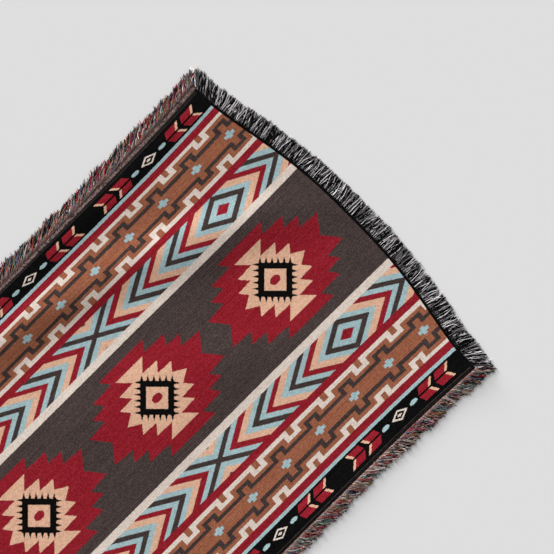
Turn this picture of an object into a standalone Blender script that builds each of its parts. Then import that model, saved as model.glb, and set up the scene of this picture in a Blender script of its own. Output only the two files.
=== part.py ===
"""A fringed picnic blanket of thick patterned cloth, as it lies on a flat surface.

X runs across the blanket, Y along it towards the head end, and Z is up. The origin is on the underside of the
woven panel, under the middle of its pattern. All sizes are in metres.
"""

import math
import random

import bmesh
import bpy
from mathutils import Vector

# Woven panel. Its ends bow outwards, and its corners stand out a little from the long edges.
HALF_WIDTH = 0.7480
PATTERN_OFFSET = 0.0240  # the pattern sits this far to the left of the panel's own middle
CORNER_FLARE = 0.020
FLARE_POWER = 3
HALF_LENGTH = 1.039
END_BOW = 0.080
BOW_POWER = 1.4
CLOTH_THICKNESS = 0.002

# Long soft fold in the left third. Each row is a cross-section: where its crest lies and how high, how far its
# flanks reach, and the heights of the valley on its left and of the shoulder beyond, near the left edge.
FOLD_COLUMNS = ("y", "crest", "height", "left", "right", "valley", "shoulder")
FOLD_ROWS = [dict(zip(FOLD_COLUMNS, row)) for row in (
    (-0.800, -0.585, 0.0000, 0.100, 0.137, 0.0000, 0.000),
    (-0.430, -0.593, 0.0170, 0.100, 0.137, 0.0110, 0.012),
    (-0.175, -0.577, 0.0245, 0.102, 0.137, 0.0160, 0.017),
    (0.000, -0.538, 0.0250, 0.104, 0.133, 0.0175, 0.019),
    (0.235, -0.472, 0.0215, 0.106, 0.180, 0.0145, 0.021),
    (0.470, -0.378, 0.0240, 0.106, 0.225, 0.0145, 0.026),
    (0.645, -0.308, 0.0210, 0.106, 0.225, 0.0110, 0.025),
    (0.820, -0.205, 0.0130, 0.117, 0.200, 0.0060, 0.021),
    (1.020, -0.065, 0.0040, 0.117, 0.185, 0.0020, 0.016),
)]
SHOULDER_X = -0.725
EDGE_FALL = 0.20  # the cloth falls again from the shoulder to its left edge
EDGE_FALL_START, EDGE_FALL_REACH = -0.680, 0.070

# The cloth lifts off the surface towards its edges: height at the edge, and how far in the lift starts.
EDGE_LIFTS = {
    "right": {"height": 0.008, "reach": 0.10},
    "left": {"height": 0.005, "reach": 0.11},
    "head": {"height": 0.007, "reach": 0.12},
    "foot": {"height": 0.006, "reach": 0.12},
}
EDGE_WAVE = 0.30
EDGE_WAVE_LENGTH = 0.83
CORNER_LIFT = 0.005
CORNER_REACH = 0.34

# Grid of the panel.
PANEL_COLUMNS = 52
PANEL_ROWS = 32

# Fringe: a narrow bound strip along each edge, with flat locks of yarn that hang from it onto the surface.
STRIP_GAP = 0.0004
STRIP_WIDTH = 0.008
LOCKS = {"head": 52, "foot": 52, "left": 68, "right": 68}
LOCK_LENGTHS = {"head": 0.070, "foot": 0.070, "left": 0.084, "right": 0.070}
LENGTH_SPREAD = 0.07
ROOT_SHARE = 0.58  # how much of a lock's pitch its root takes up
LOCK_RINGS = (
    {"along": 0.30, "width": 0.017, "height": 0.0052, "lift": 0.42},
    {"along": 0.66, "width": 0.014, "height": 0.0046, "lift": 0.0},
    {"along": 1.00, "width": 0.007, "height": 0.0030, "lift": 0.0},
)

# How the locks lean, in degrees: the ends fan out at the corners, and the sides are combed towards the head.
END_FAN = 38
FAN_POWER = 3
SIDE_COMB = 40
COMB_TURN_START, COMB_TURN_END = -0.72, -1.0
LEAN_WAVE = 5
LEAN_WAVES = 4.5
LEAN_SPREAD = 2.5

CLOTH_COLOUR = (0.20, 0.10, 0.08)
END_FRINGE_COLOUR = (0.14, 0.13, 0.13)
SIDE_FRINGE_COLOUR = (0.24, 0.15, 0.15)


def smooth(t):
    """Rises from 0 to 1 as t goes from 0 to 1, level at both ends."""
    t = min(max(t, 0.0), 1.0)
    return t * t * (3.0 - 2.0 * t)


def outline(across, along):
    """Plan position of a point of the panel, from its place across and along, each from -1 to 1."""
    half_width = HALF_WIDTH + CORNER_FLARE * abs(along) ** FLARE_POWER
    half_length = HALF_LENGTH - END_BOW * smooth(abs(across) ** BOW_POWER)
    return PATTERN_OFFSET + across * half_width, along * half_length


def row_value(rows, y, column):
    """A column of a table at a place along Y, on a smooth curve through its rows."""
    last = len(rows) - 1
    y = min(max(y, rows[0]["y"]), rows[last]["y"])
    index = max(i for i in range(last) if rows[i]["y"] <= y)
    slopes = []
    for i in (index, index + 1):
        before, after = rows[max(i - 1, 0)], rows[min(i + 1, last)]
        slopes.append((after[column] - before[column]) / (after["y"] - before["y"]))
    gap = rows[index + 1]["y"] - rows[index]["y"]
    t = (y - rows[index]["y"]) / gap
    share = smooth(t)
    curve = t * (1.0 - t) * ((1.0 - t) * slopes[0] - t * slopes[1]) * gap
    return rows[index][column] * (1.0 - share) + rows[index + 1][column] * share + curve


def hump(off_crest):
    """Rounded cross-section: 1 on the crest, 0 from one span away."""
    return math.cos(math.pi / 2 * min(max(off_crest, 0.0), 1.0)) ** 2


def fold_height(x, y):
    """The long ridge, with a valley on its left that rises again to a shoulder near the left edge."""
    crest, height, left, right, valley, shoulder = (
        row_value(FOLD_ROWS, y, column) for column in ("crest", "height", "left", "right", "valley", "shoulder")
    )
    if x >= crest:
        return height * hump((x - crest) / right)
    foot = crest - left
    rise = smooth((foot - x) / (foot - SHOULDER_X))
    fall = 1.0 - EDGE_FALL * smooth((EDGE_FALL_START - x) / EDGE_FALL_REACH)
    return (valley + (height - valley) * hump((crest - x) / left) + (shoulder - valley) * rise) * fall


def edge_height(across, along):
    """How far the cloth lifts near its edges, a little unevenly, most at the head end's right corner."""
    distances = {
        "right": (1.0 - across) * HALF_WIDTH,
        "left": (1.0 + across) * HALF_WIDTH,
        "head": (1.0 - along) * HALF_LENGTH,
        "foot": (1.0 + along) * HALF_LENGTH,
    }
    x, y = outline(across, along)
    wave = 1.0 + EDGE_WAVE * math.sin(2 * math.pi * (x + y) / EDGE_WAVE_LENGTH)
    lift = 0.0
    for side, sizes in EDGE_LIFTS.items():
        lift = max(lift, sizes["height"] * wave * smooth(1.0 - distances[side] / sizes["reach"]))
    corner_distance = math.hypot(distances["right"], distances["head"])
    return lift + CORNER_LIFT * smooth(1.0 - corner_distance / CORNER_REACH)


def underside(across, along):
    """Point on the panel's underside."""
    x, y = outline(across, along)
    return Vector((x, y, fold_height(x, y) + edge_height(across, along)))


def edge_point(side, place):
    """Point on the underside at an edge, where place runs from -1 to 1 along that edge."""
    across, along = {
        "head": (place, 1.0),
        "foot": (place, -1.0),
        "left": (-1.0, place),
        "right": (1.0, place),
    }[side]
    return underside(across, along)


def edge_directions(side, place):
    """Level unit vectors along the edge and straight out from it."""
    step = 0.002
    tangent = edge_point(side, place + step) - edge_point(side, place - step)
    tangent.z = 0.0
    tangent.normalize()
    outward = Vector((tangent.y, -tangent.x, 0.0))
    if outward.dot(edge_point(side, place)) < 0.0:
        outward.negate()
    return tangent, outward


def lean(side, place):
    """Lean of the locks from straight out, in degrees, positive towards +X on the ends and +Y on the sides."""
    wave = LEAN_WAVE * math.sin(math.pi * LEAN_WAVES * place)
    if side in ("head", "foot"):
        return wave + END_FAN * math.copysign(abs(place) ** FAN_POWER, place)
    turn = smooth((place - COMB_TURN_START) / (COMB_TURN_END - COMB_TURN_START))
    return wave + SIDE_COMB * (1.0 - 2.0 * turn)


def material(name, colour):
    """A matt woven finish."""
    made = bpy.data.materials.new(name)
    made.use_nodes = True
    shader = made.node_tree.nodes["Principled BSDF"]
    shader.inputs["Base Color"].default_value = (*colour, 1.0)
    shader.inputs["Roughness"].default_value = 0.9
    shader.inputs["Metallic"].default_value = 0.0
    return made


def add_object(name, shape, finish, parent):
    """Turns a finished bmesh into a named object."""
    bmesh.ops.recalc_face_normals(shape, faces=shape.faces)
    mesh = bpy.data.meshes.new(name)
    shape.to_mesh(mesh)
    shape.free()
    mesh.materials.append(finish)
    made = bpy.data.objects.new(name, mesh)
    bpy.context.scene.collection.objects.link(made)
    made.parent = parent
    return made


def build_panel(finish, parent):
    """The cloth: a grid laid over the folds, given its thickness upwards."""
    shape = bmesh.new()
    bmesh.ops.create_grid(shape, x_segments=PANEL_COLUMNS, y_segments=PANEL_ROWS, size=1.0)
    for vert in shape.verts:
        vert.co = underside(vert.co.x, vert.co.y)
    bmesh.ops.triangulate(shape, faces=shape.faces)
    raised = bmesh.ops.extrude_face_region(shape, geom=shape.faces)["geom"]
    top = [item for item in raised if isinstance(item, bmesh.types.BMVert)]
    bmesh.ops.translate(shape, verts=top, vec=(0.0, 0.0, CLOTH_THICKNESS))
    add_object("woven_panel", shape, finish, parent)


def strip_corners(shape, side, place):
    """The four corners of the strip's section at one place, from the inner bottom round to the outer bottom."""
    _, outward = edge_directions(side, place)
    inner = edge_point(side, place) + outward * STRIP_GAP
    outer = inner + outward * STRIP_WIDTH
    thickness = Vector((0.0, 0.0, CLOTH_THICKNESS))
    return [shape.verts.new(corner) for corner in (inner, inner + thickness, outer + thickness, outer)]


def build_strip(shape, side):
    """The backing strip as one closed body. Returns the faces that the locks grow from, with their places."""
    count = LOCKS[side]
    places = [-1.0]
    for index in range(count):
        middle = (2.0 * index + 1.0) / count - 1.0
        places += [middle - ROOT_SHARE / count, middle + ROOT_SHARE / count]
    places.append(1.0)
    sections = [strip_corners(shape, side, place) for place in places]
    shape.faces.new(sections[0])
    shape.faces.new(sections[-1])
    roots = []
    for index in range(len(sections) - 1):
        first, second = sections[index], sections[index + 1]
        for low in range(4):
            high = (low + 1) % 4
            wall = shape.faces.new((first[low], first[high], second[high], second[low]))
            if low == 2 and index % 2 == 1:
                roots.append((wall, (places[index] + places[index + 1]) / 2))
    bmesh.ops.recalc_face_normals(shape, faces=shape.faces)
    return roots


def grow_lock(shape, root, side, place, chance):
    """Draws one lock out of its root face, ring by ring, down to the surface and then level along it."""
    tangent, outward = edge_directions(side, place)
    angle = math.radians(lean(side, place) + chance.uniform(-LEAN_SPREAD, LEAN_SPREAD))
    if tangent.x + tangent.y < 0.0:
        tangent.negate()
    direction = outward * math.cos(angle) + tangent * math.sin(angle)
    length = LOCK_LENGTHS[side] * (1.0 + chance.uniform(-LENGTH_SPREAD, LENGTH_SPREAD))
    start = root.calc_center_median()
    strip_height = start.z - CLOTH_THICKNESS / 2
    tip = root
    for ring in LOCK_RINGS:
        tip = bmesh.ops.extrude_discrete_faces(shape, faces=[tip])["faces"][0]
        floor_point = start + direction * length * ring["along"]
        floor_point.z = strip_height * ring["lift"]
        corners = sorted(tip.verts, key=lambda vert: vert.co.dot(tangent))
        for pair, sideways in ((corners[:2], -0.5), (corners[2:], 0.5)):
            lower, upper = sorted(pair, key=lambda vert: vert.co.z)
            lower.co = floor_point + tangent * sideways * ring["width"]
            upper.co = lower.co + Vector((0.0, 0.0, ring["height"]))


def build_fringe(side, finish, parent):
    """One edge's strip with all its locks, as one body."""
    shape = bmesh.new()
    chance = random.Random(side)
    for root, place in build_strip(shape, side):
        grow_lock(shape, root, side, place, chance)
    add_object(side + "_fringe", shape, finish, parent)


def main():
    for old in list(bpy.data.objects):
        bpy.data.objects.remove(old)
    blanket = bpy.data.objects.new("blanket", None)
    bpy.context.scene.collection.objects.link(blanket)
    cloth = material("patterned_cloth", CLOTH_COLOUR)
    end_yarn = material("black_and_white_yarn", END_FRINGE_COLOUR)
    side_yarn = material("mixed_yarn", SIDE_FRINGE_COLOUR)
    build_panel(cloth, blanket)
    for side in LOCKS:
        build_fringe(side, end_yarn if side in ("head", "foot") else side_yarn, blanket)


main()
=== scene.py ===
"""Looks of the picnic blanket: thick patterned cloth with loose yarn fringes, spread on a pale floor.

X runs across the blanket and Y along it towards its head end. The woven pattern is drawn on a chart whose
steps are 3.9 mm of cloth, counted from the middle of the pattern: across, and along towards the head end.
"""

import math
import random

import bmesh
import bpy
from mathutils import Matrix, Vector, noise


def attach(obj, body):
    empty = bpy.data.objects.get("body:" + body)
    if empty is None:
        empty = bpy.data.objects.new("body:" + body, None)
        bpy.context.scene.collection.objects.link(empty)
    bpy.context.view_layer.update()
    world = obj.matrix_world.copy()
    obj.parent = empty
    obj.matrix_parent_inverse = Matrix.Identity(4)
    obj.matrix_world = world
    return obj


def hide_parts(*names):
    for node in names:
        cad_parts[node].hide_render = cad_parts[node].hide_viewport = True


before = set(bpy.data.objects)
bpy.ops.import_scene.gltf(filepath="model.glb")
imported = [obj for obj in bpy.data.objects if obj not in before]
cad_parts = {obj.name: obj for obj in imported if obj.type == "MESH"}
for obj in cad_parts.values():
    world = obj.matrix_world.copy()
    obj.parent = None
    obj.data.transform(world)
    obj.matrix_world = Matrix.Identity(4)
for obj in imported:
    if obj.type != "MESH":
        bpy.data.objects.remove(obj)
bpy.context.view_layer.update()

# Plan outline and long fold of the cloth, in metres.
HALF_WIDTH = 0.7480
PATTERN_OFFSET = 0.0240
CORNER_FLARE = 0.020
FLARE_POWER = 3
HALF_LENGTH = 1.039
END_BOW = 0.080
BOW_POWER = 1.4
CLOTH_THICKNESS = 0.002
FOLD_COLUMNS = ("y", "crest", "height", "left", "right", "valley", "shoulder")
FOLD_ROWS = [dict(zip(FOLD_COLUMNS, row)) for row in (
    (-0.800, -0.585, 0.0000, 0.100, 0.137, 0.0000, 0.000),
    (-0.430, -0.593, 0.0170, 0.100, 0.137, 0.0110, 0.012),
    (-0.175, -0.577, 0.0245, 0.102, 0.137, 0.0160, 0.017),
    (0.000, -0.538, 0.0250, 0.104, 0.133, 0.0175, 0.019),
    (0.235, -0.472, 0.0215, 0.106, 0.180, 0.0145, 0.021),
    (0.470, -0.378, 0.0240, 0.106, 0.225, 0.0145, 0.026),
    (0.645, -0.308, 0.0210, 0.106, 0.225, 0.0110, 0.025),
    (0.820, -0.205, 0.0130, 0.117, 0.200, 0.0060, 0.021),
    (1.020, -0.065, 0.0040, 0.117, 0.185, 0.0020, 0.016),
)]
SHOULDER_X = -0.725
EDGE_FALL = 0.20
EDGE_FALL_START, EDGE_FALL_REACH = -0.680, 0.070
EDGE_LIFTS = {
    "right": {"height": 0.008, "reach": 0.10},
    "left": {"height": 0.005, "reach": 0.11},
    "head": {"height": 0.007, "reach": 0.12},
    "foot": {"height": 0.006, "reach": 0.12},
}
EDGE_WAVE = 0.30
EDGE_WAVE_LENGTH = 0.83
CORNER_LIFT = 0.005
CORNER_REACH = 0.34

# Broad low swell right of the fold, a row for each cross-section.
SWELL_COLUMNS = ("y", "crest", "height", "left", "right")
SWELL_ROWS = [dict(zip(SWELL_COLUMNS, row)) for row in (
    (-0.62, -0.130, 0.0000, 0.234, 0.450),
    (-0.23, -0.105, 0.0072, 0.240, 0.480),
    (0.00, -0.055, 0.0082, 0.240, 0.360),
    (0.18, 0.010, 0.0070, 0.234, 0.280),
    (0.39, 0.150, 0.0055, 0.234, 0.260),
    (0.62, 0.250, 0.0042, 0.200, 0.220),
    (0.84, 0.312, 0.0000, 0.195, 0.195),
)]

# Small unevenness of the cloth: soft dimples, with their places, radii, stretch along Y and heights.
DIMPLES = (
    {"x": 0.080, "y": 0.280, "radius": 0.14, "stretch": 1.6, "height": 0.0020},
    {"x": 0.175, "y": 0.120, "radius": 0.12, "stretch": 1.4, "height": 0.0016},
    {"x": 0.170, "y": -0.180, "radius": 0.13, "stretch": 1.5, "height": 0.0018},
    {"x": -0.520, "y": 0.700, "radius": 0.10, "stretch": 2.2, "height": 0.0024},
)
UNEVENNESS = 0.0010
UNEVENNESS_SCALE = 4.5
NOISE_LEVEL = 0.3
RIM_FADE = 12  # the swell, dimples and unevenness fade out over the outer twelfth of each half

CLOTH_COLUMNS, CLOTH_ROWS = 172, 224

# Chart. Its rows lag towards the foot, by WEFT_LAG steps at LAG_AT steps from the middle.
STEP = 0.0039
WEFT_LAG = {"left": 6.2, "right": 9.0}
LAG_AT = 184.0
LAG_POWER = 4

# The folds draw the pattern in: the left half by a power of its distance from NARROWING_FROM, and both halves
# by a share of it, with more towards the head.
NARROWING = 0.00697
NARROWING_FROM = 62.5
NARROWING_POWER = 1.5
NARROWING_ROUNDS = 8
DRAWN_RIGHT = {"share": 0.0105, "more_at_head": 0.55, "head_reach": 0.6}
DRAWN_LEFT = {"share": 0.0125, "steps_at_head": 1.5, "head_reach": 0.85, "full_from": 66}

# Pitches along the chart, and places across it.
MEDALLIONS = 3
MEDALLION_PITCH = 166.8
BORDER_PITCH = 168.2
CROSS_PITCH = 47.8
CHEVRONS_START, CHEVRONS_END = 70.9, 106.4
CHEVRON_MIDDLE = 88.25
CHEVRON_SLOPE = 1.68
CHEVRON_TURN = 180.0
FRET_MIDDLE = 138.7
BORDER_MIDDLE = 183.9
HEM = 2.5

COLOURS = {
    "charcoal": (69, 58, 56),
    "dark": (63, 52, 50),
    "black": (10, 9, 9),
    "cream": (215, 200, 189),
    "peach": (215, 170, 143),
    "red": (138, 29, 40),
    "brown": (147, 90, 66),
    "blue": (157, 182, 186),
    "grey": (50, 45, 44),
    "soot": (38, 33, 31),
}

# Bands from the middle outwards: where each starts on the chart.
BANDS = (
    {"from": 0.0, "colour": "charcoal"},
    {"from": 62.7, "colour": "cream"},
    {"from": 70.9, "colour": "blue"},
    {"from": 106.1, "colour": "red"},
    {"from": 113.8, "colour": "cream"},
    {"from": 118.2, "colour": "brown"},
    {"from": 159.6, "colour": "cream"},
    {"from": 163.1, "colour": "red"},
    {"from": 170.6, "colour": "blue"},
    {"from": 174.0, "colour": "black"},
    {"from": 195.6, "colour": "grey"},
    {"from": 196.8, "colour": "black"},
    {"from": 197.5, "colour": "soot"},
)

# Chevron band: colours by the place along the band where a chevron has its point.
CHEVRONS = (
    {"from": -40.0, "colour": "dark"},
    {"from": -27.3, "colour": "peach"},
    {"from": -15.1, "colour": "blue"},
    {"from": -4.7, "colour": "dark"},
    {"from": 4.7, "colour": "blue"},
    {"from": 14.1, "colour": "red"},
    {"from": 25.4, "colour": "peach"},
    {"from": 36.7, "colour": "blue"},
    {"from": 46.1, "colour": "dark"},
    {"from": 56.4, "colour": "blue"},
    {"from": 65.9, "colour": "red"},
    {"from": 75.3, "colour": "peach"},
    {"from": 87.5, "colour": "blue"},
    {"from": 97.9, "colour": "dark"},
    {"from": 107.3, "colour": "blue"},
    {"from": 116.7, "colour": "red"},
    {"from": 127.0, "colour": "peach"},
    {"from": 139.3, "colour": "blue"},
    {"from": 148.7, "colour": "dark"},
    {"from": 159.0, "colour": "blue"},
    {"from": 170.3, "colour": "red"},
)

# Serrated outlines of the medallion, from its middle outwards: across, and how far along they reach.
RED_SERRATION = (
    {"across": 0.0, "along": 63.5},
    {"across": 17.5, "along": 77.5},
    {"across": 19.5, "along": 53.5},
    {"across": 29.5, "along": 61.5},
    {"across": 30.5, "along": 43.0},
    {"across": 40.5, "along": 50.0},
    {"across": 41.2, "along": 23.0},
    {"across": 52.0, "along": 31.0},
)
PEACH_SERRATION = (
    {"across": 0.0, "along": 41.5},
    {"across": 7.5, "along": 29.0},
    {"across": 16.0, "along": 36.0},
    {"across": 16.8, "along": 18.0},
    {"across": 26.5, "along": 26.5},
    {"across": 27.4, "along": 6.5},
    {"across": 40.0, "along": 19.0},
)
SERRATION_SPAN = 84.0

# Toothed frame round a medallion's middle, measured across plus along, and the oval inside it.
TOOTHED_FRAME = {"outside": 24.0, "opening": 15.3, "tips": 32.4, "toothed_to": 24.5}
HALF_TOOTH = 4.3
TOOTH_STEEPNESS = 3.8
MIDDLE_OVAL = {"across": 4.0, "along": 6.0}

# Fret: notched key blocks, then a stepped line and crosses, measured from their middles.
KEY_BLOCKS = (
    {"from": 113.8, "to": 125.2, "reach": 9.4},
    {"from": 152.9, "to": 163.1, "reach": 9.4},
)
KEY_NOTCHES = (
    {"from": 113.8, "to": 121.5, "reach": 3.5},
    {"from": 156.3, "to": 163.1, "reach": 3.2},
)
FRET_LINE = {"start": 6.7, "turn": 10.4, "arm": 13.5, "end": 17.1}
FRET_STEP = {"start": 3.8, "end": 8.9}
CROSS_BARS = (
    {"across": 1.8, "along": 6.2},
    {"across": 3.9, "along": 2.3},
)

# Dark border: an outlined diamond, an oval and two feathers, mirrored along from the diamond's middle.
BORDER_DIAMOND = {"across": 5.3, "along": 10.6}
DIAMOND_OPENING = 0.68
DIAMOND_CORE = {"across": 1.4, "along": 3.1}
BORDER_OVAL = {"across": 2.1, "along": 4.9}
OVAL_AT = 19.2
FEATHERS_START, FEATHERS_END = 26.5, 70.4
FEATHER = {"length": 22.0, "half_width": 7.7, "half_gap": 0.9}
FEATHER_TAIL = {"at": -0.4, "slope": 0.62}
FEATHER_TIP = {"at": 12.3, "slope": 0.85, "width": 3.2}

# Finish of the surfaces.
ROUGHNESS = 0.95
SHEEN = 0.05

# Weave, in steps of the chart: its ribs, threads, floats and streaks, and how the outlines stray.
RIB_PITCH = 2.25
RIB_WANDER = 4.0
THREAD_PITCH = {"across": 0.55, "along": 0.45}
FLOAT_SIZE = {"across": 0.9, "along": 1.3}
FLOAT_STAGGER = 0.37
STREAKS = {
    "lines": {"across": 1.1, "along": 0.02},
    "dye": {"across": 0.5, "along": 0.05},
    "patches": {"across": 0.05, "along": 0.04},
}
STITCH = 0.5
STRAY = 1.3
STRAY_SCALES = {"across": 0.8, "along": 0.7}

# How strongly each part of the weave deepens the colours, lightens them and raises the surface.
DEEPENING = {"ribs": -0.062, "lines": -0.27, "grain": -0.15}
LIGHTENING = {"threads": 0.05, "dye": 0.12, "patches": 0.12, "grain": 0.23}
RAISING = {"ribs": 0.3, "threads": 0.35, "dye": 1.0}
BUMP_STRENGTH, BUMP_HEIGHT = 0.5, 0.0006

# Fringe: where it leaves the edge, and how it leans in degrees.
STRIP_GAP = 0.0004
END_FAN = 38
FAN_POWER = 5
SIDE_COMB = {"left": 60, "right": 45}
CORNER_COMB = 41
COMB_TURN_START, COMB_TURN_END = -0.72, -1.0
LEAN_WAVE = 5
LEAN_WAVES = 4.5
CORNER_TURN, CORNER_TURN_START = 6, 0.85
STEEPEST = {"left": 66, "right": 54}  # lean up to which a side's yarns are cut off in a straight line

# Each edge's yarns: their reach and its factor at the corners, the bound strip's width, where in the strip
# they start, the strip's colour, factors for the darkest and the palest yarns, and their range of tints.
END_FRINGE = {
    "kind": "end", "reach": 0.069, "at_corners": 1.20, "header": 0.004, "starts": (0.0, 0.2),
    "strip": (26, 24, 24), "dark": 1.1, "pale": 1.0, "tints": (0.0, 1.0),
}
FRINGES = {
    "head": {**END_FRINGE, "seed": 3},
    "foot": {**END_FRINGE, "seed": 5},
    # Left yarns: the darker mix and the darker range of tints are painted shade over the yarns' own colours.
    "left": {
        "kind": "side", "reach": 0.0455, "at_corners": 0.94, "header": 0.024, "starts": (0.5, 0.9),
        "strip": (154, 129, 124), "dark": 1.9, "pale": 0.45, "tints": (0.0, 0.55), "seed": 7,
    },
    # Right yarns: the paler mix and the lighter range of tints are painted light over the yarns' own colours.
    "right": {
        "kind": "side", "reach": 0.0455, "at_corners": 1.06, "header": 0.014, "starts": (0.1, 0.5),
        "strip": (72, 54, 50), "dark": 1.35, "pale": 3.8, "tints": (0.1, 1.0), "seed": 9,
    },
}

# Yarns hang in tufts. The gather draws a tuft's ends together, and the stair cuts it squarer to its lean.
TUFTS = {
    "end": {
        "pitch": 0.0120, "yarns": 12, "spread": 0.035, "lean": 4,
        "bend": 0.005, "gather": 0.15, "stair": 0.0,
    },
    "side": {
        "pitch": 0.0300, "yarns": 44, "spread": 0.05, "lean": 5,
        "bend": 0.004, "gather": 0.30, "stair": 0.5,
    },
}
LONGEST_TUFT = 0.10  # most that a tuft reaches past the usual, as a share
TUFT_SCATTER = 0.2  # in half pitches
TUFT_OVERLAP = 1.1
LAST_PLACE = 0.999
YARNS = {
    "end": {
        "rings": 8, "radius": 0.00155, "spread": 0.04, "lean": 4,
        "curl": 0.0022, "hooked": 0.10, "pile": 0.0050,
    },
    "side": {
        "rings": 7, "radius": 0.00185, "spread": 0.03, "lean": 9,
        "curl": 0.0036, "hooked": 0.22, "pile": 0.0065,
    },
}

# Bound strips: their thickness, the share of a yarn's length that is dusty from them, and the dust's colour.
HEADERS = {
    "end": {"thickness": 0.0016, "bound": 0.03, "colour": (26, 24, 24)},
    "side": {"thickness": 0.0016, "bound": 0.20, "colour": (128, 104, 100)},
}
HEADER_STEPS = 240
HEADER_FALL = 0.93  # height of a strip's outer edge, of that of its inner edge

# Course of one yarn: how high it starts, as shares of the strip's thickness and of its height at rest, how
# soon it comes down, and how it curls.
START_IN_STRIP, START_IN_PILE = 0.8, 0.4
DROP_LEAST, DROP_SLOPE, DROP_MOST = 0.014, 1.3, 0.62
CURLS, WAVES = (0.4, 1.5), (2.5, 8.0)
CURL_START = 3
BEND_SPREAD = 0.003
HOOKS, HOOK_POWER = (0.005, 0.012), 4
RING_CORNERS = ((-0.8, -0.8), (0.8, -0.8), (0.8, 0.8), (-0.8, 0.8))
BLUNT_END = 0.72

# Look of the yarns and of the bound strips.
TWIST, TWIST_OFFSET = 70.0, 40.0
DUST_SLOPE, DUST_START, LEAST_FREE = 1.6, 0.6, 0.45
LUMP_SCALES = {"across": 300.0, "along": 60.0}
DARKEST_TINT, TINT_RANGE = 0.7, 0.6
TWIST_STRENGTH, LUMP_STRENGTH = 0.10, 2.6
STRIP_RIB, STRIP_SPECK = 0.0052, 0.007
STRIP_RIB_STRENGTH, STRIP_SPECK_STRENGTH, STRIP_LIGHTNESS = 0.12, 5.5, 1.1

# Cells of a fringe's second map: margins beside and below a tube's sides, and its small end squares.
CELL_SIDE, CELL_END = 0.06, 0.04
CAP_SIZE, CAP_LEFT, CAP_MARGIN = 0.02, 0.02, 0.01

# Yarns by colour, the darkest first and the palest last: their share, and factors for their rise in the pile
# and for their width.
COLOURED_YARNS = {
    "end": (
        {"name": "yarn_black", "colour": (9, 8, 9), "share": 0.64, "rise": 0.80, "width": 1.0},
        {"name": "yarn_grey", "colour": (112, 107, 110), "share": 0.13, "rise": 0.95, "width": 0.8},
        {"name": "yarn_white", "colour": (238, 232, 235), "share": 0.38, "rise": 1.00, "width": 0.6},
    ),
    "side": (
        {"name": "side_black", "colour": (20, 17, 17), "share": 0.24, "rise": 0.85, "width": 1.0},
        {"name": "side_rose", "colour": (150, 112, 110), "share": 0.21, "rise": 1.00, "width": 0.9},
        {"name": "side_red", "colour": (132, 32, 48), "share": 0.11, "rise": 1.00, "width": 1.0},
        {"name": "side_teal", "colour": (64, 96, 90), "share": 0.13, "rise": 1.00, "width": 1.0},
        {"name": "side_slate", "colour": (84, 90, 116), "share": 0.07, "rise": 1.00, "width": 1.0},
        {"name": "side_ochre", "colour": (128, 100, 64), "share": 0.13, "rise": 1.00, "width": 0.9},
        {"name": "side_cream", "colour": (216, 204, 196), "share": 0.10, "rise": 1.00, "width": 0.7},
    ),
}
SCATTER = 0.5  # how far the colours stray from coming in turn

# View and light. One pixel of the view shows one step of the chart.
VIEW_PIXELS = 554
FRAME_WIDTH = VIEW_PIXELS * STEP
VIEW_MIDDLE = (-0.0028, 0.6640)
VIEW_TURN = 45
CAMERA_HEIGHT = 8.0
VIEW_DEPTH = 60.0
SENSOR = 36.0
LAMPS = (
    {"name": "low_lamp", "elevation": 9, "spread": 12, "turn": -4, "share": 0.16},
    {"name": "middle_lamp", "elevation": 20, "spread": 18, "turn": -8, "share": 0.17},
    {"name": "high_lamp", "elevation": 36, "spread": 26, "turn": -12, "share": 0.16},
)
LAMP_PLACE = (-3.0, 0.0, 3.0)
GLOW = 0.41
BRIGHTEST = 0.90  # how bright a white surface comes out, so colours are divided by it
FLOOR_COLOUR = (222, 222, 222)
FLOOR_HALF = 14.0


def smooth(t):
    """Rises from 0 to 1 as t goes from 0 to 1, level at both ends."""
    t = min(max(t, 0.0), 1.0)
    return t * t * (3.0 - 2.0 * t)


def linear(colour):
    """Scene colour of a surface that shows as this 8-bit colour."""
    shares = [part / 255 for part in colour]
    values = [s / 12.92 if s <= 0.04045 else ((s + 0.055) / 1.055) ** 2.4 for s in shares]
    return tuple(min(value / BRIGHTEST, 1.0) for value in values)


def half_length(across):
    """Half the cloth's length at a place across, since its ends are bowed."""
    return HALF_LENGTH - END_BOW * smooth(abs(across) ** BOW_POWER)


def outline(across, along):
    """Plan position of a point of the cloth, from its place across and along, each from -1 to 1."""
    half_width = HALF_WIDTH + CORNER_FLARE * abs(along) ** FLARE_POWER
    return PATTERN_OFFSET + across * half_width, along * half_length(across)


def row_value(rows, y, column):
    """A column of a table at a place along Y, on a smooth curve through its rows."""
    last = len(rows) - 1
    y = min(max(y, rows[0]["y"]), rows[last]["y"])
    index = max(i for i in range(last) if rows[i]["y"] <= y)
    slopes = []
    for i in (index, index + 1):
        before, after = rows[max(i - 1, 0)], rows[min(i + 1, last)]
        slopes.append((after[column] - before[column]) / (after["y"] - before["y"]))
    gap = rows[index + 1]["y"] - rows[index]["y"]
    t = (y - rows[index]["y"]) / gap
    share = smooth(t)
    curve = t * (1.0 - t) * ((1.0 - t) * slopes[0] - t * slopes[1]) * gap
    return rows[index][column] * (1.0 - share) + rows[index + 1][column] * share + curve


def hump(off_crest):
    """Rounded cross-section: 1 on the crest, 0 from one span away."""
    return math.cos(math.pi / 2 * min(max(off_crest, 0.0), 1.0)) ** 2


def fold_height(x, y):
    """The long ridge, with a valley on its left that rises again to a shoulder near the left edge."""
    sizes = [row_value(FOLD_ROWS, y, column) for column in FOLD_COLUMNS[1:]]
    crest, height, left, right, valley, shoulder = sizes
    if x >= crest:
        return height * hump((x - crest) / right)
    foot = crest - left
    rise = smooth((foot - x) / (foot - SHOULDER_X))
    fall = 1.0 - EDGE_FALL * smooth((EDGE_FALL_START - x) / EDGE_FALL_REACH)
    return (valley + (height - valley) * hump((crest - x) / left) + (shoulder - valley) * rise) * fall


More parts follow.
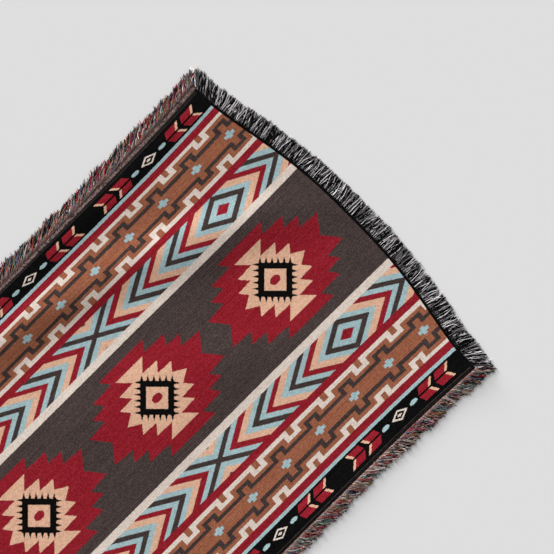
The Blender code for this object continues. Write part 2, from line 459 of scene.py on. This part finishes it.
def edge_height(across, along):
    """How far the cloth lifts near its edges."""
    distances = {
        "right": (1.0 - across) * HALF_WIDTH,
        "left": (1.0 + across) * HALF_WIDTH,
        "head": (1.0 - along) * HALF_LENGTH,
        "foot": (1.0 + along) * HALF_LENGTH,
    }
    x, y = outline(across, along)
    wave = 1.0 + EDGE_WAVE * math.sin(2 * math.pi * (x + y) / EDGE_WAVE_LENGTH)
    lift = 0.0
    for side, sizes in EDGE_LIFTS.items():
        lift = max(lift, sizes["height"] * wave * smooth(1.0 - distances[side] / sizes["reach"]))
    corner_distance = math.hypot(distances["right"], distances["head"])
    return lift + CORNER_LIFT * smooth(1.0 - corner_distance / CORNER_REACH)


def dimple_height(x, y):
    """Broad swell, soft dimples and fine unevenness, never below the floor."""
    spot = Vector((x * UNEVENNESS_SCALE, y * UNEVENNESS_SCALE, NOISE_LEVEL))
    height = UNEVENNESS * (1.0 + noise.noise(spot))
    crest = row_value(SWELL_ROWS, y, "crest")
    span = row_value(SWELL_ROWS, y, "left" if x < crest else "right")
    height += row_value(SWELL_ROWS, y, "height") * hump(abs(x - crest) / span)
    for dimple in DIMPLES:
        across = (x - dimple["x"]) / dimple["radius"]
        along = (y - dimple["y"]) / (dimple["radius"] * dimple["stretch"])
        height += dimple["height"] * smooth(1.0 - math.hypot(across, along))
    return height


def surface(across, along):
    """Point on the cloth's underside."""
    x, y = outline(across, along)
    return Vector((x, y, fold_height(x, y) + edge_height(across, along)))


def drawn_in(plan, y):
    """How many steps of the chart the folds take up between its middle and a place in plan."""
    outer = max(abs(plan) - NARROWING_FROM, 0.0)
    if plan > 0.0:
        towards_head = smooth(y / DRAWN_RIGHT["head_reach"])
        return DRAWN_RIGHT["share"] * outer * (1.0 + DRAWN_RIGHT["more_at_head"] * towards_head)
    towards_head = smooth(y / DRAWN_LEFT["head_reach"])
    towards_side = smooth(-plan / DRAWN_LEFT["full_from"])
    return DRAWN_LEFT["share"] * outer + DRAWN_LEFT["steps_at_head"] * towards_head * towards_side


def chart_place(across, along):
    """Where a point of the cloth lies on the pattern's chart, in steps across and along."""
    x, y = outline(across, along)
    plan = (PATTERN_OFFSET + across * HALF_WIDTH) / STEP
    plan += math.copysign(drawn_in(plan, y), plan)
    steps = plan
    if plan < 0.0:
        steps = -plan
        for _ in range(NARROWING_ROUNDS):
            steps = -plan + NARROWING * max(steps - NARROWING_FROM, 0.0) ** NARROWING_POWER
        steps = -steps
    lag = WEFT_LAG["left" if steps < 0.0 else "right"] * (abs(steps) / LAG_AT) ** LAG_POWER
    return steps, y / STEP + lag


def end_distance(across, along):
    """Distance from the nearer end of the cloth, in steps."""
    return (1.0 - abs(along)) * half_length(across) / STEP


class Field:
    """A number that a material works out for each point, with ordinary arithmetic."""

    def __init__(self, tree, source):
        self.tree = tree
        self.source = source

    def calculate(self, operation, *others):
        """One more step of arithmetic, with numbers or other fields."""
        node = self.tree.nodes.new("ShaderNodeMath")
        node.operation = operation
        for slot, item in zip(node.inputs, (self, *others)):
            value = item.source if isinstance(item, Field) else item
            if isinstance(value, (int, float)):
                slot.default_value = value
            else:
                self.tree.links.new(value, slot)
        return Field(self.tree, node.outputs[0])

    def __add__(self, other):
        return self.calculate("ADD", other)

    def __sub__(self, other):
        return self.calculate("SUBTRACT", other)

    def __mul__(self, other):
        return self.calculate("MULTIPLY", other)

    def __truediv__(self, other):
        return self.calculate("DIVIDE", other)

    def __lt__(self, other):
        return self.calculate("LESS_THAN", other)

    def __gt__(self, other):
        return self.calculate("GREATER_THAN", other)

    def __and__(self, other):
        return self.calculate("MULTIPLY", other)

    def __or__(self, other):
        return self.calculate("MAXIMUM", other)

    def __abs__(self):
        return self.calculate("ABSOLUTE")

    def snap(self, size):
        return self.calculate("SNAP", size)

    def repeat(self, half_pitch):
        """Distance from the nearest repeat, each two half pitches apart."""
        return abs(self).calculate("PINGPONG", half_pitch)

    def wrap(self, size):
        return self.calculate("FLOORED_MODULO", size)

    def sine(self):
        return self.calculate("SINE")

    def squared(self):
        return self.calculate("POWER", 2.0)

    def between(self, low, high):
        return (self > low) & (self < high)


def diamond(across, along, size):
    """Below 1 inside a diamond of these half sizes."""
    return across / size["across"] + along / size["along"]


def oval(across, along, size):
    """Below 1 inside an oval of these half sizes."""
    return (across / size["across"]).squared() + (along / size["along"]).squared()


def any_of(masks):
    """1 wherever one of these masks is."""
    joined = masks[0]
    for mask in masks[1:]:
        joined = joined | mask
    return joined


def banded(tree, place, bands):
    """Plain colours one after another along a place."""
    cloth = bands[0]["colour"]
    for band in bands[1:]:
        cloth = laid_over(tree, cloth, band["colour"], place > band["from"])
    return cloth


def reach(place, serration):
    """How far along a serrated outline reaches at a place across."""
    widest = serration[-1]["across"]
    curve = place.tree.nodes.new("ShaderNodeFloatCurve")
    points = curve.mapping.curves[0].points
    for index, row in enumerate(serration):
        spot = (row["across"] / widest, row["along"] / SERRATION_SPAN)
        if index < len(points):
            points[index].location = spot
        else:
            points.new(*spot)
    for point in points:
        point.handle_type = "VECTOR"
    curve.mapping.update()
    place.tree.links.new((place / widest).source, curve.inputs["Value"])
    return Field(place.tree, curve.outputs["Value"]) * SERRATION_SPAN & (place < widest)


def laid_over(tree, under, over, mask):
    """One colour over another where the mask is 1."""
    mix = tree.nodes.new("ShaderNodeMix")
    mix.data_type = "RGBA"
    tree.links.new(mask.source, mix.inputs["Factor"])
    for slot, cloth in (("A", under), ("B", over)):
        if isinstance(cloth, str):
            mix.inputs[slot].default_value = (*linear(COLOURS[cloth]), 1.0)
        else:
            tree.links.new(cloth, mix.inputs[slot])
    return mix.outputs["Result"]


def medallion(tree, cloth, across, along):
    """Serrated medallion with a toothed frame round an oval."""
    in_row = abs(along) < MEDALLION_PITCH * MEDALLIONS / 2
    along = along.repeat(MEDALLION_PITCH / 2)
    ring = across + along
    slant = across - along
    teeth = (slant + HALF_TOOTH).repeat(HALF_TOOTH) * -TOOTH_STEEPNESS + TOOTHED_FRAME["tips"]
    toothed = teeth & (abs(slant) < TOOTHED_FRAME["toothed_to"])
    cloth = laid_over(tree, cloth, "red", (along < reach(across, RED_SERRATION)) & in_row)
    cloth = laid_over(tree, cloth, "peach", along < reach(across, PEACH_SERRATION))
    cloth = laid_over(tree, cloth, "black", (ring < TOOTHED_FRAME["outside"]) | (ring < toothed))
    cloth = laid_over(tree, cloth, "peach", ring < TOOTHED_FRAME["opening"])
    return laid_over(tree, cloth, "red", oval(across, along, MIDDLE_OVAL) < 1.0)


def chevron_band(tree, cloth, across, along):
    """Nested chevrons that meet in a diamond and in a cross."""
    off_middle = abs(across - CHEVRON_MIDDLE)
    point = along.repeat(CHEVRON_TURN) - off_middle * CHEVRON_SLOPE
    colours = banded(tree, point, CHEVRONS)
    return laid_over(tree, cloth, colours, across.between(CHEVRONS_START, CHEVRONS_END))


def fret_band(tree, cloth, across, along):
    """Stepped fret with crosses between key-shaped blocks."""
    off_middle = abs(across - FRET_MIDDLE)
    cross_away = along.repeat(CROSS_PITCH / 2)
    key_away = cross_away * -1.0 + CROSS_PITCH / 2
    keys, notches = (
        [across.between(row["from"], row["to"]) & (key_away < row["reach"]) for row in rows]
        for rows in (KEY_BLOCKS, KEY_NOTCHES)
    )
    long_line = off_middle.between(FRET_LINE["start"], FRET_LINE["turn"]) & (cross_away > FRET_STEP["start"])
    step_line = off_middle.between(FRET_LINE["start"], FRET_LINE["end"])
    step_line = step_line & cross_away.between(FRET_STEP["start"], FRET_STEP["end"])
    outer_line = off_middle.between(FRET_LINE["arm"], FRET_LINE["end"]) & (cross_away < FRET_STEP["end"])
    arm = (off_middle < FRET_LINE["arm"]) & (cross_away < FRET_STEP["start"])
    cross = [(off_middle < bar["across"]) & (cross_away < bar["along"]) for bar in CROSS_BARS]
    cloth = laid_over(tree, cloth, "cream", any_of(keys))
    cloth = laid_over(tree, cloth, "brown", any_of([*notches, arm]))
    cloth = laid_over(tree, cloth, "dark", any_of([long_line, step_line, outer_line]))
    return laid_over(tree, cloth, "blue", any_of(cross))


def border(tree, cloth, across, along):
    """Outlined diamonds, ovals and pairs of feathers on the dark border."""
    off_middle = abs(across - BORDER_MIDDLE)
    away = along.repeat(BORDER_PITCH / 2)
    outlined = diamond(off_middle, away, BORDER_DIAMOND)
    core = diamond(off_middle, away, DIAMOND_CORE)
    cloth = laid_over(tree, cloth, "cream", outlined.between(DIAMOND_OPENING, 1.0))
    cloth = laid_over(tree, cloth, "cream", core < 1.0)
    cloth = laid_over(tree, cloth, "blue", oval(off_middle, away - OVAL_AT, BORDER_OVAL) < 1.0)
    return feathers(tree, cloth, off_middle, away)


def feathers(tree, cloth, off_middle, away):
    """Red feathers one behind the other, each with two vanes and a peach tip."""
    feather = (away - FEATHERS_START).wrap(FEATHER["length"])
    in_vanes = off_middle.between(FEATHER["half_gap"], FEATHER["half_width"])
    in_feathers = away.between(FEATHERS_START, FEATHERS_END) & in_vanes
    tail = off_middle * FEATHER_TAIL["slope"] + FEATHER_TAIL["at"]
    tip = off_middle * FEATHER_TIP["slope"] + FEATHER_TIP["at"]
    cloth = laid_over(tree, cloth, "red", feather.between(tail, tip) & in_feathers)
    return laid_over(tree, cloth, "peach", feather.between(tip, tip + FEATHER_TIP["width"]) & in_feathers)


def new_material(name):
    """A matt material with an empty place for its colour."""
    made = bpy.data.materials.new(name)
    made.use_nodes = True
    shader = made.node_tree.nodes["Principled BSDF"]
    shader.inputs["Roughness"].default_value = ROUGHNESS
    shader.inputs["Specular IOR Level"].default_value = SHEEN
    return made, made.node_tree, shader


def map_places(tree, name):
    """Across and along as held in one of the mesh's maps."""
    source = tree.nodes.new("ShaderNodeUVMap")
    source.uv_map = name
    split = tree.nodes.new("ShaderNodeSeparateXYZ")
    tree.links.new(source.outputs["UV"], split.inputs["Vector"])
    return Field(tree, split.outputs["X"]), Field(tree, split.outputs["Y"])


def centred(tree, output):
    """A texture's value from 0 to 1, moved to lie about 0."""
    return Field(tree, output) - 0.5


def streaks(tree, across, along, scales):
    """Uneven streaks along the threads, from -0.5 to 0.5."""
    joined = tree.nodes.new("ShaderNodeCombineXYZ")
    tree.links.new((across * scales["across"]).source, joined.inputs["X"])
    tree.links.new((along * scales["along"]).source, joined.inputs["Y"])
    texture = tree.nodes.new("ShaderNodeTexNoise")
    texture.inputs["Scale"].default_value = 1.0
    texture.inputs["Detail"].default_value = 1.0
    tree.links.new(joined.outputs["Vector"], texture.inputs["Vector"])
    return centred(tree, texture.outputs["Fac"])


def floats(tree, across, along):
    """A number of its own, from -0.5 to 0.5, for each small float of yarn in the weave."""
    column = across.snap(FLOAT_SIZE["across"])
    row = (along + column * FLOAT_STAGGER).snap(FLOAT_SIZE["along"])
    joined = tree.nodes.new("ShaderNodeCombineXYZ")
    tree.links.new(column.source, joined.inputs["X"])
    tree.links.new(row.source, joined.inputs["Y"])
    texture = tree.nodes.new("ShaderNodeTexWhiteNoise")
    texture.noise_dimensions = "2D"
    tree.links.new(joined.outputs["Vector"], texture.inputs["Vector"])
    return centred(tree, texture.outputs["Value"])


def blended(parts, shares):
    """Sum of some of the parts, each times its share."""
    scaled = [parts[name] * share for name, share in shares.items()]
    total = scaled[0]
    for item in scaled[1:]:
        total = total + item
    return total


def shaded(tree, shader, colour, strength):
    """A colour made lighter and darker by a worked-out strength."""
    shade = tree.nodes.new("ShaderNodeVectorMath")
    shade.operation = "SCALE"
    if isinstance(colour, tuple):
        shade.inputs["Vector"].default_value = linear(colour)
    else:
        tree.links.new(colour, shade.inputs["Vector"])
    tree.links.new(strength.source, shade.inputs["Scale"])
    tree.links.new(shade.outputs["Vector"], shader.inputs["Base Color"])


def woven_finish(tree, shader, colour, across, along):
    """Fine ribs along the cloth, uneven line by line, with threads, dye and grain over the pattern."""
    weave = {name: streaks(tree, across, along, scales) for name, scales in STREAKS.items()}
    weave["grain"] = floats(tree, across, along)
    weave["ribs"] = (across * (2 * math.pi / RIB_PITCH) + weave["lines"] * RIB_WANDER).sine()
    warp = (across * (2 * math.pi / THREAD_PITCH["across"])).sine()
    weave["threads"] = warp * (along * (2 * math.pi / THREAD_PITCH["along"])).sine()
    deepened = tree.nodes.new("ShaderNodeGamma")
    tree.links.new(colour, deepened.inputs["Color"])
    tree.links.new((blended(weave, DEEPENING) + 1.0).source, deepened.inputs["Gamma"])
    shaded(tree, shader, deepened.outputs["Color"], blended(weave, LIGHTENING) + 1.0)
    bump = tree.nodes.new("ShaderNodeBump")
    bump.inputs["Strength"].default_value = BUMP_STRENGTH
    bump.inputs["Distance"].default_value = BUMP_HEIGHT
    tree.links.new(blended(weave, RAISING).source, bump.inputs["Height"])
    tree.links.new(bump.outputs["Normal"], shader.inputs["Normal"])


def stitched(tree, place, first, second, scale):
    """A place on the chart, straying a little and taken to the nearest stitch."""
    stray = streaks(tree, first, second, {"across": scale, "along": scale})
    return (place + stray * STRAY).snap(STITCH)


def face_material():
    """The upper side: the whole charted pattern."""
    made, tree, shader = new_material("woven_pattern")
    signed_across, along = map_places(tree, "Chart")
    _, from_end = map_places(tree, "Edge")
    across = stitched(tree, abs(signed_across), signed_across, along, STRAY_SCALES["across"])
    rows = stitched(tree, along, along, signed_across, STRAY_SCALES["along"])
    cloth = banded(tree, across, BANDS)
    for motif in (medallion, chevron_band, fret_band, border):
        cloth = motif(tree, cloth, across, rows)
    cloth = laid_over(tree, cloth, "black", from_end < HEM)
    woven_finish(tree, shader, cloth, signed_across, along)
    return made


def back_material():
    """The underside: the bands alone."""
    made, tree, shader = new_material("woven_back")
    signed_across, along = map_places(tree, "Chart")
    cloth = banded(tree, abs(signed_across), BANDS)
    woven_finish(tree, shader, cloth, signed_across, along)
    return made


def yarn_material(kind, yarn):
    """Loose yarn of one colour: each a little lighter or darker, twisted, and dusty where it is bound in."""
    made, tree, shader = new_material(yarn["name"])
    tint, along = map_places(tree, "Yarn")
    header = HEADERS[kind]
    free = along * (DUST_SLOPE / header["bound"]) - DUST_START
    free = free.calculate("MINIMUM", 1.0).calculate("MAXIMUM", LEAST_FREE)
    mix = tree.nodes.new("ShaderNodeMix")
    mix.data_type = "RGBA"
    tree.links.new(free.source, mix.inputs["Factor"])
    mix.inputs["A"].default_value = (*linear(header["colour"]), 1.0)
    mix.inputs["B"].default_value = (*linear(yarn["colour"]), 1.0)
    twist = (along * TWIST + tint * TWIST_OFFSET).sine()
    lumps = streaks(tree, tint, along, LUMP_SCALES) * (free * -1.0 + 1.0)
    strength = tint * TINT_RANGE + DARKEST_TINT + twist * TWIST_STRENGTH + lumps * LUMP_STRENGTH
    shaded(tree, shader, mix.outputs["Result"], strength)
    return made


def specks(tree, size):
    """Uneven specks of about this size, from -0.5 to 0.5."""
    source = tree.nodes.new("ShaderNodeTexCoord")
    texture = tree.nodes.new("ShaderNodeTexNoise")
    texture.inputs["Scale"].default_value = 1.0 / size
    texture.inputs["Detail"].default_value = 2.0
    tree.links.new(source.outputs["Object"], texture.inputs["Vector"])
    return centred(tree, texture.outputs["Fac"])


def strip_material(side):
    """The bound warp ends next to the cloth: speckled, with fine ribs straight out from the edge."""
    made, tree, shader = new_material(side + "_strip")
    along, _ = map_places(tree, "Yarn")
    ribs = (along * (2 * math.pi / STRIP_RIB)).sine()
    uneven = specks(tree, STRIP_SPECK)
    strength = ribs * STRIP_RIB_STRENGTH + uneven * STRIP_SPECK_STRENGTH + STRIP_LIGHTNESS
    shaded(tree, shader, FRINGES[side]["strip"], strength)
    return made


def link(name, content):
    """A new object of the scene with this content."""
    made = bpy.data.objects.new(name, content)
    bpy.context.scene.collection.objects.link(made)
    return made


def square(row, column):
    """Corners of one square of a grid."""
    return [(row, column), (row, column + 1), (row + 1, column + 1), (row + 1, column)]


def cloth_grid(shape, lift, places):
    """One side of the cloth as a grid of corners, noting each one's place on the chart and from the end."""
    grid = []
    for row in range(CLOTH_ROWS + 1):
        along = 2.0 * row / CLOTH_ROWS - 1.0
        line = []
        for column in range(CLOTH_COLUMNS + 1):
            across = 2.0 * column / CLOTH_COLUMNS - 1.0
            point = surface(across, along)
            rim = min(1.0 - abs(across), 1.0 - abs(along))
            point.z += lift + dimple_height(point.x, point.y) * smooth(rim * RIM_FADE)
            vert = shape.verts.new(point)
            places[vert] = (chart_place(across, along), (0.0, end_distance(across, along)))
            line.append(vert)
        grid.append(line)
    return grid


def build_cloth():
    """The cloth: a thin closed sheet over the folds, with its chart and edge distances as maps."""
    shape = bmesh.new()
    chart = shape.loops.layers.uv.new("Chart")
    edge = shape.loops.layers.uv.new("Edge")
    places = {}
    top, bottom = (cloth_grid(shape, lift, places) for lift in (CLOTH_THICKNESS, 0.0))
    for row in range(CLOTH_ROWS):
        for column in range(CLOTH_COLUMNS):
            shape.faces.new([top[r][c] for r, c in square(row, column)])
            under = shape.faces.new([bottom[r][c] for r, c in reversed(square(row, column))])
            under.material_index = 1
    rim = [(0, c) for c in range(CLOTH_COLUMNS)]
    rim += [(r, CLOTH_COLUMNS) for r in range(CLOTH_ROWS)]
    rim += [(CLOTH_ROWS, c) for c in range(CLOTH_COLUMNS, 0, -1)]
    rim += [(r, 0) for r in range(CLOTH_ROWS, 0, -1)]
    for (r, c), (next_r, next_c) in zip(rim, rim[1:] + rim[:1]):
        shape.faces.new((bottom[r][c], bottom[next_r][next_c], top[next_r][next_c], top[r][c]))
    for face in shape.faces:
        face.smooth = True
        for loop in face.loops:
            loop[chart].uv, loop[edge].uv = places[loop.vert]
    mesh = bpy.data.meshes.new("blanket_cloth")
    shape.to_mesh(mesh)
    shape.free()
    mesh.materials.append(face_material())
    mesh.materials.append(back_material())
    return link("blanket_cloth", mesh)


def edge_point(side, place):
    """Point on the underside at an edge, where place runs from -1 to 1 along that edge."""
    across, along = {
        "head": (place, 1.0),
        "foot": (place, -1.0),
        "left": (-1.0, place),
        "right": (1.0, place),
    }[side]
    return surface(across, along)


def edge_directions(side, place):
    """Level unit vectors along the edge and straight out from it."""
    step = 0.002
    tangent = edge_point(side, place + step) - edge_point(side, place - step)
    tangent.z = 0.0
    tangent.normalize()
    outward = Vector((tangent.y, -tangent.x, 0.0))
    if outward.dot(edge_point(side, place)) < 0.0:
        outward.negate()
    return tangent, outward


def near_corner(place):
    """How near a place along an edge is to a corner: 0 over most of the edge, 1 at its ends."""
    return smooth((abs(place) - CORNER_TURN_START) / (1.0 - CORNER_TURN_START))


def lean(side, place):
    """Lean of the yarns from straight out in degrees: towards +X on the ends, and +Y on the sides."""
    wave = LEAN_WAVE * math.sin(math.pi * LEAN_WAVES * place)
    corner = near_corner(place)
    if side in ("head", "foot"):
        return wave + math.copysign(END_FAN * abs(place) ** FAN_POWER + CORNER_TURN * corner, place)
    comb = SIDE_COMB[side] * (1.0 - corner) + CORNER_COMB * corner
    turn = smooth((place - COMB_TURN_START) / (COMB_TURN_END - COMB_TURN_START))
    return wave + comb * (1.0 - 2.0 * turn)


def next_colour(owed, yarns, style, chance):
    """Index of the next yarn: each colour comes in turn, by its share, from the darkest to the palest."""
    shares = [yarn["share"] for yarn in yarns]
    # On the sides these factors also paint light: a darker mix on the left for shade, a paler one on the
    # right.
    shares[0] *= style["dark"]
    shares[-1] *= style["pale"]
    for index, share in enumerate(shares):
        owed[index] += share / sum(shares)
    pick = max(range(len(owed)), key=lambda index: owed[index] + chance.uniform(0.0, SCATTER))
    owed[pick] -= 1.0
    return pick


class Bundle:
    """Corners and faces of many small bodies, with their slots and their places on two maps."""

    def __init__(self, bodies):
        self.verts, self.faces, self.slots = [], [], []
        self.places, self.spots = [], []
        self.cells = math.ceil(math.sqrt(bodies))
        self.bodies = 0

    def add_face(self, corners, slot, places, box):
        """A face with its corners' places, and with a box within the present body's cell."""
        column, row = self.bodies % self.cells, self.bodies // self.cells
        left, low, right, high = box
        self.faces.append(corners)
        self.slots.append(slot)
        self.places.extend(places)
        for x, y in ((left, low), (right, low), (right, high), (left, high)):
            self.spots.append(((column + x) / self.cells, (row + y) / self.cells))

    def add_tube(self, rings, places, slot):
        """A closed four-sided tube through rings of four corners, in a cell of its own on the second map."""
        first = len(self.verts)
        for ring in rings:
            self.verts.extend(ring)
        steps = len(rings) - 1
        height = (1.0 - 2 * CELL_END) / steps
        for step in range(steps):
            near, far = places[step], places[step + 1]
            low = CELL_END + height * step
            for side in range(4):
                corner, beside = first + 4 * step + side, first + 4 * step + (side + 1) % 4
                box = ((side + CELL_SIDE) / 4, low, (side + 1.0 - CELL_SIDE) / 4, low + height)
                self.add_face((corner, beside, beside + 4, corner + 4), slot, (near, near, far, far), box)
        right = CAP_LEFT + CAP_SIZE
        start_box = (CAP_LEFT, CAP_MARGIN, right, CAP_MARGIN + CAP_SIZE)
        end_box = (CAP_LEFT, 1.0 - CAP_MARGIN - CAP_SIZE, right, 1.0 - CAP_MARGIN)
        last = first + 4 * steps
        self.add_face((first + 3, first + 2, first + 1, first), slot, (places[0],) * 4, start_box)
        self.add_face((last, last + 1, last + 2, last + 3), slot, (places[-1],) * 4, end_box)
        self.bodies += 1

    def finish(self, name, materials):
        """The whole bundle as one object."""
        mesh = bpy.data.meshes.new(name)
        mesh.from_pydata([tuple(vert) for vert in self.verts], [], self.faces)
        for material in materials:
            mesh.materials.append(material)
        mesh.polygons.foreach_set("material_index", self.slots)
        for map_name, places in (("Yarn", self.places), ("OFBake", self.spots)):
            layer = mesh.uv_layers.new(name=map_name)
            layer.data.foreach_set("uv", [value for place in places for value in place])
        mesh.polygons.foreach_set("use_smooth", [True] * len(mesh.polygons))
        mesh.update()
        return link(name, mesh)


def strand_path(side, place, aim, pull, bend, length, rest, chance):
    """Points along one yarn, over the bound strip, down onto the floor and then level, curling as it goes."""
    style = FRINGES[side]
    yarn = YARNS[style["kind"]]
    tangent, outward, angle = aim
    direction = outward * math.cos(angle) + tangent * math.sin(angle)
    sideways = Vector((-direction.y, direction.x, 0.0))
    start_share = chance.uniform(*style["starts"])
    start = edge_point(side, place) + outward * (STRIP_GAP + style["header"] * start_share)
    start.z += HEADERS[style["kind"]]["thickness"] * START_IN_STRIP + rest * START_IN_PILE
    bound = style["header"] * (1.0 - start_share) / math.cos(angle)
    drop = min(DROP_LEAST + DROP_SLOPE * start.z, DROP_MOST * (length - bound))
    curl = yarn["curl"] * chance.uniform(*CURLS)
    waves = chance.uniform(*WAVES)
    phase = chance.uniform(0.0, 2 * math.pi)
    bend += chance.gauss(0.0, BEND_SPREAD)
    hook = 0.0
    if chance.random() < yarn["hooked"]:
        hook = chance.choice((-1.0, 1.0)) * chance.uniform(*HOOKS)
    points = []
    for index in range(yarn["rings"]):
        share = index / (yarn["rings"] - 1)
        point = start + direction * (length * share) + tangent * (pull * share)
        wave = curl * min(share * CURL_START, 1.0) * math.sin(phase + waves * share)
        point += sideways * (wave + bend * share * share + hook * share ** HOOK_POWER)
        fall = smooth((share * length - bound) / drop)
        point.z = start.z * (1.0 - fall) + rest * fall
        points.append(point)
    return points


def strand_rings(points, radius):
    """Square rings along a yarn's path, a little thinner at its blunt end."""
    rings = []
    for index, point in enumerate(points):
        ahead = points[min(index + 1, len(points) - 1)] - points[max(index - 1, 0)]
        side = Vector((-ahead.y, ahead.x, 0.0)).normalized()
        up = ahead.cross(side).normalized()
        if up.z < 0.0:
            up.negate()
        size = radius * (BLUNT_END if index == len(points) - 1 else 1.0)
        rings.append([point + (side * x + up * y) * size for x, y in RING_CORNERS])
    return rings


def add_header(bundle, side, slot):
    """The bound strip along an edge, which the yarns come out of, with its run along the edge as places."""
    width = FRINGES[side]["header"]
    rise = Vector((0.0, 0.0, HEADERS[FRINGES[side]["kind"]]["thickness"]))
    rings, places = [], []
    run = 0.0
    before = None
    for index in range(HEADER_STEPS + 1):
        place = 2.0 * index / HEADER_STEPS - 1.0
        _, outward = edge_directions(side, place)
        inner = edge_point(side, place) + outward * STRIP_GAP
        outer = inner + outward * width
        outer.z *= HEADER_FALL
        rings.append([inner, outer, outer + rise, inner + rise])
        run += (inner - before).length if before else 0.0
        before = inner
        places.append((run, 0.0))
    bundle.add_tube(rings, places, slot)


def add_tuft(bundle, side, index, count, owed, chance):
    """One tuft of loose yarns, the one of this index among all on its edge."""
    style = FRINGES[side]
    kind = style["kind"]
    tufts, yarn, colours = TUFTS[kind], YARNS[kind], COLOURED_YARNS[kind]
    tuft_reach = style["reach"] * (1.0 + min(chance.gauss(0.0, tufts["spread"]), LONGEST_TUFT))
    bend = chance.gauss(0.0, tufts["bend"])
    middle = (2.0 * index + 1.0 + chance.uniform(-TUFT_SCATTER, TUFT_SCATTER)) / count - 1.0
    tangent, outward = edge_directions(side, middle)
    if tangent.x + tangent.y < 0.0:
        tangent.negate()
    tuft_lean = lean(side, middle) + chance.gauss(0.0, tufts["lean"])
    for strand in range(tufts["yarns"]):
        off = ((strand + chance.random()) / tufts["yarns"] - 0.5) * TUFT_OVERLAP
        place = min(max(middle + 2.0 * off / count, -LAST_PLACE), LAST_PLACE)
        angle = math.radians(tuft_lean + chance.gauss(0.0, yarn["lean"]))
        gain = chance.gauss(0.0, yarn["spread"]) + (style["at_corners"] - 1.0) * near_corner(place)
        length = tuft_reach * (1.0 + gain)
        if kind == "side":
            length /= math.cos(min(abs(angle), math.radians(STEEPEST[side])))
        length -= off * tufts["pitch"] * math.sin(angle) * tufts["stair"]
        slot = next_colour(owed, colours, style, chance)
        radius = yarn["radius"] * colours[slot]["width"]
        rest = radius + yarn["pile"] * chance.random() * colours[slot]["rise"]
        pull = -off * tufts["pitch"] * tufts["gather"]
        path = strand_path(side, place, (tangent, outward, angle), pull, bend, length, rest, chance)
        # A yarn's tint from its edge's range, which on the sides also paints shade on the left and light on
        # the right.
        tint = chance.uniform(*style["tints"])
        places = [(tint, step / (yarn["rings"] - 1)) for step in range(yarn["rings"])]
        bundle.add_tube(strand_rings(path, radius), places, slot)


def build_fringe(side, materials):
    """All the loose yarns of one edge, tuft by tuft, and the strip that holds them."""
    style = FRINGES[side]
    tufts, colours = TUFTS[style["kind"]], COLOURED_YARNS[style["kind"]]
    chance = random.Random(style["seed"])
    run = 2.0 * (HALF_WIDTH if style["kind"] == "end" else HALF_LENGTH)
    count = int(run / tufts["pitch"])
    bundle = Bundle(count * tufts["yarns"] + 1)
    owed = [0.0] * len(colours)
    for index in range(count):
        add_tuft(bundle, side, index, count, owed, chance)
    add_header(bundle, side, len(colours))
    looks = [materials[colour["name"]] for colour in colours]
    looks.append(strip_material(side))
    return bundle.finish(side + "_yarns", looks)


def build_view():
    """Camera straight above, turned so that the blanket lies aslant in the frame."""
    camera = bpy.data.cameras.new("camera")
    camera.sensor_width = SENSOR
    camera.lens = SENSOR * CAMERA_HEIGHT / FRAME_WIDTH
    camera.clip_end = VIEW_DEPTH
    made = link("camera", camera)
    made.location = (*VIEW_MIDDLE, CAMERA_HEIGHT)
    made.rotation_euler = (0.0, 0.0, math.radians(VIEW_TURN))
    bpy.context.scene.camera = made


def build_light():
    """Wide soft light from the left side of the blanket, low to high, and an even glow."""
    for lamp in LAMPS:
        sun = bpy.data.lights.new(lamp["name"], "SUN")
        elevation = math.radians(lamp["elevation"])
        sun.energy = math.pi * lamp["share"] / math.sin(elevation)
        sun.angle = math.radians(lamp["spread"])
        made = link(lamp["name"], sun)
        made.location = LAMP_PLACE
        turn = math.radians(lamp["turn"])
        level = math.cos(elevation)
        towards = Vector((level * math.cos(turn), level * math.sin(turn), -math.sin(elevation)))
        made.rotation_euler = towards.to_track_quat("-Z", "Y").to_euler()
    world = bpy.data.worlds.new("glow")
    bpy.context.scene.world = world
    world.use_nodes = True
    background = world.node_tree.nodes["Background"]
    background.inputs["Color"].default_value = (1.0, 1.0, 1.0, 1.0)
    background.inputs["Strength"].default_value = GLOW


def build_floor():
    """A wide pale floor."""
    mesh = bpy.data.meshes.new("floor")
    corners = [(x * FLOOR_HALF, y * FLOOR_HALF, 0.0) for x, y in ((-1, -1), (1, -1), (1, 1), (-1, 1))]
    mesh.from_pydata(corners, [], [(0, 1, 2, 3)])
    made, _, shader = new_material("pale_floor")
    shader.inputs["Base Color"].default_value = (*linear(FLOOR_COLOUR), 1.0)
    mesh.materials.append(made)
    link("floor", mesh)


def main():
    bpy.context.scene.view_settings.view_transform = "Standard"
    cloth = build_cloth()
    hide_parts("woven_panel")
    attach(cloth, "root")
    materials = {}
    for kind, yarns in COLOURED_YARNS.items():
        for yarn in yarns:
            materials[yarn["name"]] = yarn_material(kind, yarn)
    for side, style in FRINGES.items():
        fringe = build_fringe(side, materials)
        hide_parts(side + "_fringe")
        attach(fringe, "root")
    build_floor()
    build_light()
    build_view()


main()
